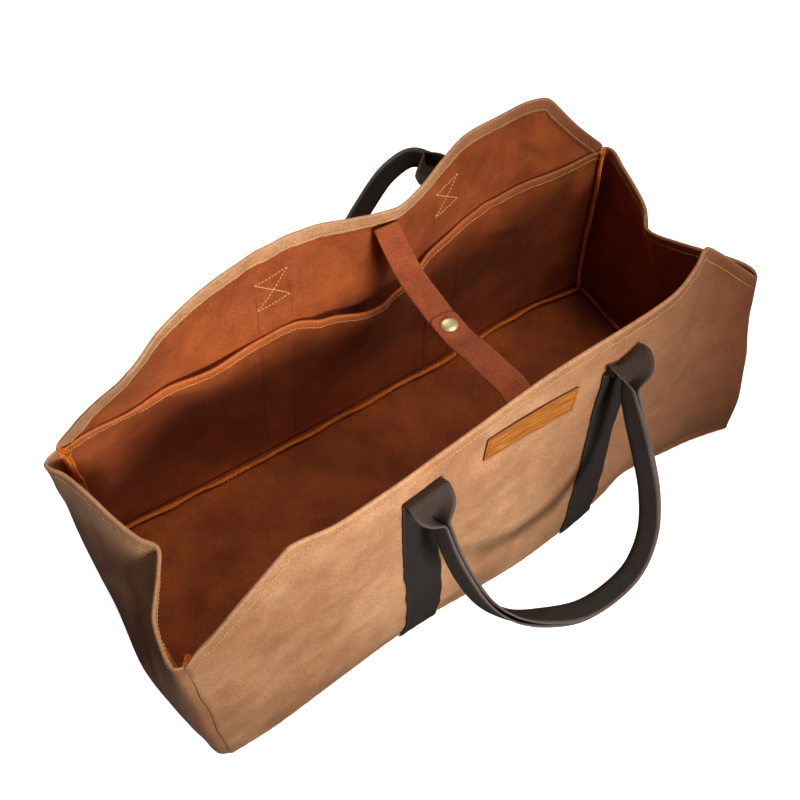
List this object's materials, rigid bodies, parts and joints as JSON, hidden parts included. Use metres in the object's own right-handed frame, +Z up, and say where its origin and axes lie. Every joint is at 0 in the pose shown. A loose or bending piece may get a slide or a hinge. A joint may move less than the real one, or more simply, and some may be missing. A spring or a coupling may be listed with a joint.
{
  "type": "canvas log carrier",
  "caption": "Open-topped waxed canvas tote for firewood, with black webbing carry handles, a snap closure strap, an inner pocket and a leather label patch.",
  "frame": {"origin": "middle of the flat underside", "axes": "+Z up, +X along the length, the long wall with the leather label at -Y"},
  "size_m": [0.6411, 0.429, 0.3005],
  "materials": {
    "canvas": "waxed tan cotton canvas, soft sheen, mottled",
    "lining": "rust-brown inner side of waxed canvas",
    "binding": "orange cotton binding tape, matte",
    "webbing": "black cotton webbing, ribbed, matte",
    "strap": "terracotta cotton webbing, matte",
    "brass": "satin brass",
    "leather": "amber leather, smooth, slightly waxed"
  },
  "bodies": {
    "root": {"bottom_panel": "canvas", "front_panel": "canvas", "back_panel": "canvas", "left_end_panel": "canvas", "right_end_panel": "canvas", "pocket_panel": "lining", "seam_back": "binding", "seam_front": "binding", "seam_left": "binding", "seam_right": "binding", "corner_seam_front_left": "lining", "corner_seam_back_left": "lining", "corner_seam_front_right": "lining", "corner_seam_back_right": "lining", "front_handle": "webbing", "back_handle": "webbing", "strap_back": "strap", "strap_front": "strap", "snap_cap": "brass", "snap_stud": "brass", "leather_label": "leather"}
  },
  "joints": []
}
